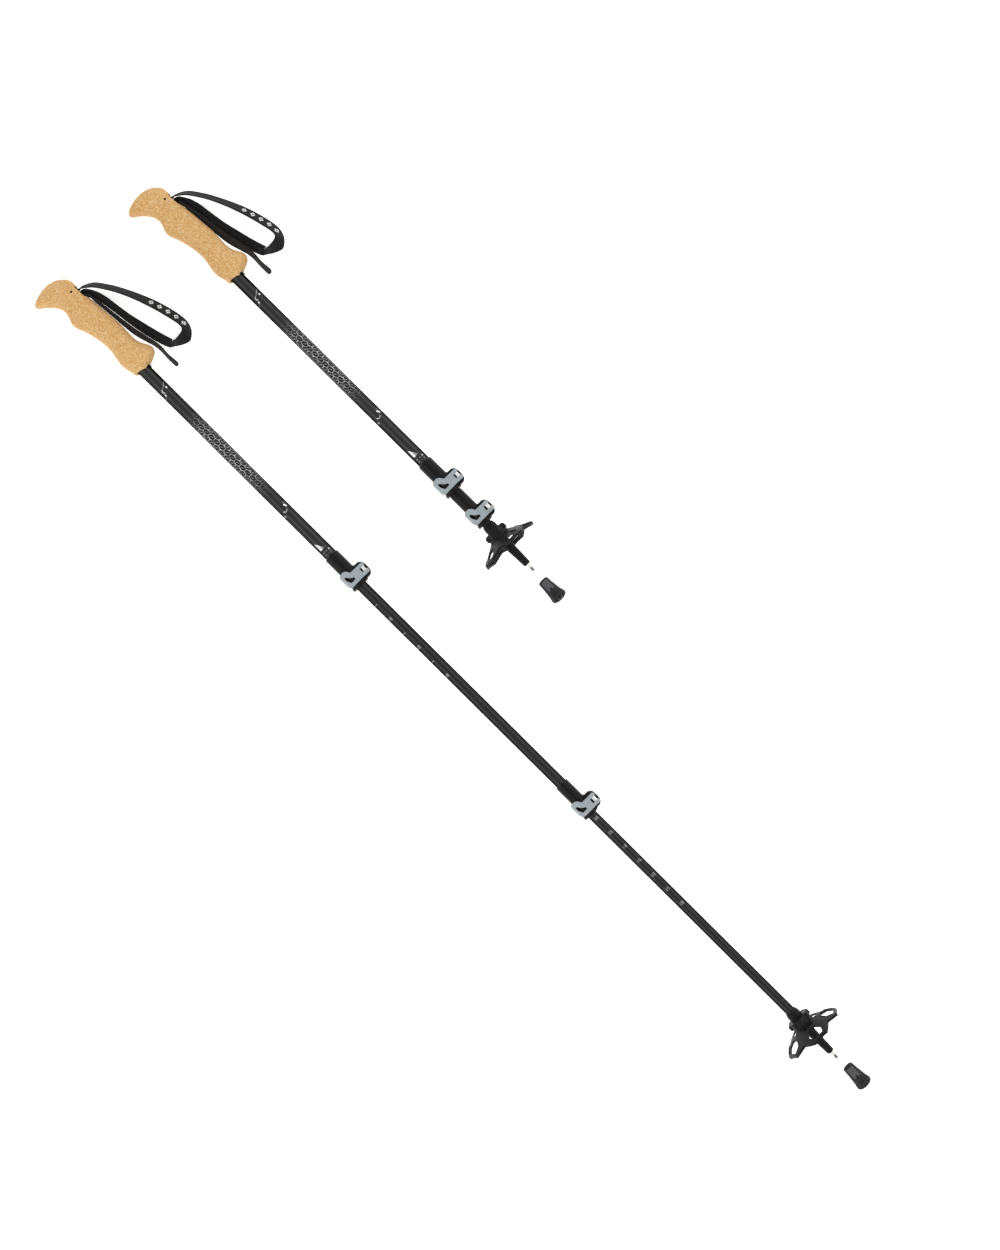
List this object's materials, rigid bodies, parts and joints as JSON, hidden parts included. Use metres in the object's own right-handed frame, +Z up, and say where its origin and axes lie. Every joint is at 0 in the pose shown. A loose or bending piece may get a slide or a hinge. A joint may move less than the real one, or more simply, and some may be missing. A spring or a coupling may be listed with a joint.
{
  "type": "trekking poles",
  "caption": "Pair of telescopic trekking poles with cork grips, wrist straps, flip-lever clamps, trekking baskets, metal tips and rubber tip caps.",
  "frame": {"origin": "centre of the pair's footprint, on the ground that both poles lie on", "axes": "+X from the grips towards the tips, +Y towards the wrist-strap side, +Z up"},
  "size_m": [1.3574, 0.2706, 0.0799],
  "materials": {
    "cork": "sanded agglomerated cork, matte, light and dark grains",
    "moulding_black": "black glass-filled nylon, satin",
    "clamp_body": "black nylon, semi-gloss",
    "guide": "dark acetal, smooth",
    "webbing": "black woven webbing",
    "upper_tube": "charcoal lacquer with pale printed pattern, satin",
    "tube": "dark grey anodised, satin",
    "lever": "light grey, fine satin",
    "bright_steel": "bright plated steel",
    "steel": "turned steel",
    "carbide": "dark sintered carbide",
    "basket": "black moulded plastic, satin",
    "rubber_cap": "dark grey moulded rubber"
  },
  "bodies": {
    "extended_grip_section": {"extended_cork_grip": "cork", "extended_grip_core": "moulding_black", "extended_strap_pin": "steel", "extended_upper_tube": "upper_tube", "extended_upper_clamp": "clamp_body", "extended_upper_clamp_shim": "guide", "extended_upper_clamp_barrel": "bright_steel", "extended_upper_clamp_screw": "bright_steel"},
    "extended_middle_section": {"extended_middle_tube": "tube", "extended_middle_tube_guide": "guide", "extended_lower_clamp": "clamp_body", "extended_lower_clamp_shim": "guide", "extended_lower_clamp_barrel": "bright_steel", "extended_lower_clamp_screw": "bright_steel"},
    "extended_tip_section": {"extended_lower_tube": "tube", "extended_lower_tube_guide": "guide", "extended_tip_ferrule": "moulding_black", "extended_tip_shank": "steel", "extended_carbide_tip": "carbide"},
    "extended_basket_body": {"extended_basket": "basket"},
    "extended_upper_lever": {"extended_upper_clamp_lever": "lever"},
    "extended_lower_lever": {"extended_lower_clamp_lever": "lever"},
    "extended_strap": {"extended_wrist_strap": "webbing", "extended_strap_pad": "webbing", "extended_strap_tail": "webbing", "extended_strap_wedge": "moulding_black"},
    "extended_cap": {"extended_rubber_cap": "rubber_cap", "extended_cap_washer": "steel"},
    "stowed_grip_section": {"stowed_cork_grip": "cork", "stowed_grip_core": "moulding_black", "stowed_strap_pin": "steel", "stowed_upper_tube": "upper_tube", "stowed_upper_clamp": "clamp_body", "stowed_upper_clamp_shim": "guide", "stowed_upper_clamp_barrel": "bright_steel", "stowed_upper_clamp_screw": "bright_steel"},
    "stowed_middle_section": {"stowed_middle_tube": "tube", "stowed_middle_tube_guide": "guide", "stowed_lower_clamp": "clamp_body", "stowed_lower_clamp_shim": "guide", "stowed_lower_clamp_barrel": "bright_steel", "stowed_lower_clamp_screw": "bright_steel"},
    "stowed_tip_section": {"stowed_lower_tube": "tube", "stowed_lower_tube_guide": "guide", "stowed_tip_ferrule": "moulding_black", "stowed_tip_shank": "steel", "stowed_carbide_tip": "carbide"},
    "stowed_basket_body": {"stowed_basket": "basket"},
    "stowed_upper_lever": {"stowed_upper_clamp_lever": "lever"},
    "stowed_lower_lever": {"stowed_lower_clamp_lever": "lever"},
    "stowed_strap": {"stowed_wrist_strap": "webbing", "stowed_strap_pad": "webbing", "stowed_strap_tail": "webbing", "stowed_strap_wedge": "moulding_black"},
    "stowed_cap": {"stowed_rubber_cap": "rubber_cap", "stowed_cap_washer": "steel"}
  },
  "joints": [
    {"name": "extended_middle_slide", "type": "slide", "parent": "extended_grip_section", "child": "extended_middle_section", "axis": [0.9998, 0, 0.019], "range_m": [-0.33, 0.025]},
    {"name": "extended_lower_slide", "type": "slide", "parent": "extended_middle_section", "child": "extended_tip_section", "axis": [0.9998, 0, 0.019], "range_m": [-0.325, 0.025]},
    {"name": "extended_upper_lever_hinge", "type": "hinge", "parent": "extended_grip_section", "child": "extended_upper_lever", "pos_m": [-0.1759, -0.0799, 0.0343], "axis": [-0.9998, 0, -0.019], "range_deg": [0, 130]},
    {"name": "extended_lower_lever_hinge", "type": "hinge", "parent": "extended_middle_section", "child": "extended_lower_lever", "pos_m": [0.20553, -0.0809, 0.04154], "axis": [-0.9998, 0, -0.019], "range_deg": [0, 130]},
    {"name": "extended_basket_turn", "type": "hinge", "parent": "extended_tip_section", "child": "extended_basket_body", "pos_m": [0.55476, -0.096, 0.03817], "axis": [0.9998, 0, 0.019], "range_deg": [0, 540]},
    {"name": "extended_strap_hinge", "type": "hinge", "parent": "extended_grip_section", "child": "extended_strap", "pos_m": [-0.64933, -0.0909, 0.0153], "axis": [-0.019, 0, 0.9998], "range_deg": [0, 10]},
    {"name": "extended_cap_lift", "type": "slide", "parent": "extended_tip_section", "child": "extended_cap", "axis": [0, 0, 1], "range_m": [0, 0.1]},
    {"name": "stowed_middle_slide", "type": "slide", "parent": "stowed_grip_section", "child": "stowed_middle_section", "axis": [0.9991, 0, 0.0422], "range_m": [0, 0.355]},
    {"name": "stowed_lower_slide", "type": "slide", "parent": "stowed_middle_section", "child": "stowed_tip_section", "axis": [0.9991, 0, 0.0422], "range_m": [0, 0.35]},
    {"name": "stowed_upper_lever_hinge", "type": "hinge", "parent": "stowed_grip_section", "child": "stowed_upper_lever", "pos_m": [-0.17449, 0.0751, 0.04565], "axis": [-0.9991, 0, -0.0422], "range_deg": [0, 130]},
    {"name": "stowed_lower_lever_hinge", "type": "hinge", "parent": "stowed_middle_section", "child": "stowed_lower_lever", "pos_m": [-0.12304, 0.0741, 0.04782], "axis": [-0.9991, 0, -0.0422], "range_deg": [0, 130]},
    {"name": "stowed_basket_turn", "type": "hinge", "parent": "stowed_tip_section", "child": "stowed_basket_body", "pos_m": [-0.09853, 0.059, 0.03884], "axis": [0.9991, 0, 0.0422], "range_deg": [0, 540]},
    {"name": "stowed_strap_hinge", "type": "hinge", "parent": "stowed_grip_section", "child": "stowed_strap", "pos_m": [-0.64734, 0.0641, 0.01567], "axis": [-0.0422, 0, 0.9991], "range_deg": [0, 10]},
    {"name": "stowed_cap_lift", "type": "slide", "parent": "stowed_tip_section", "child": "stowed_cap", "axis": [0, 0, 1], "range_m": [0, 0.1]},
    {"name": "stowed_pole_lift", "type": "slide", "parent": "extended_grip_section", "child": "stowed_grip_section", "axis": [0, 0, 1], "range_m": [0, 0.3]}
  ]
}
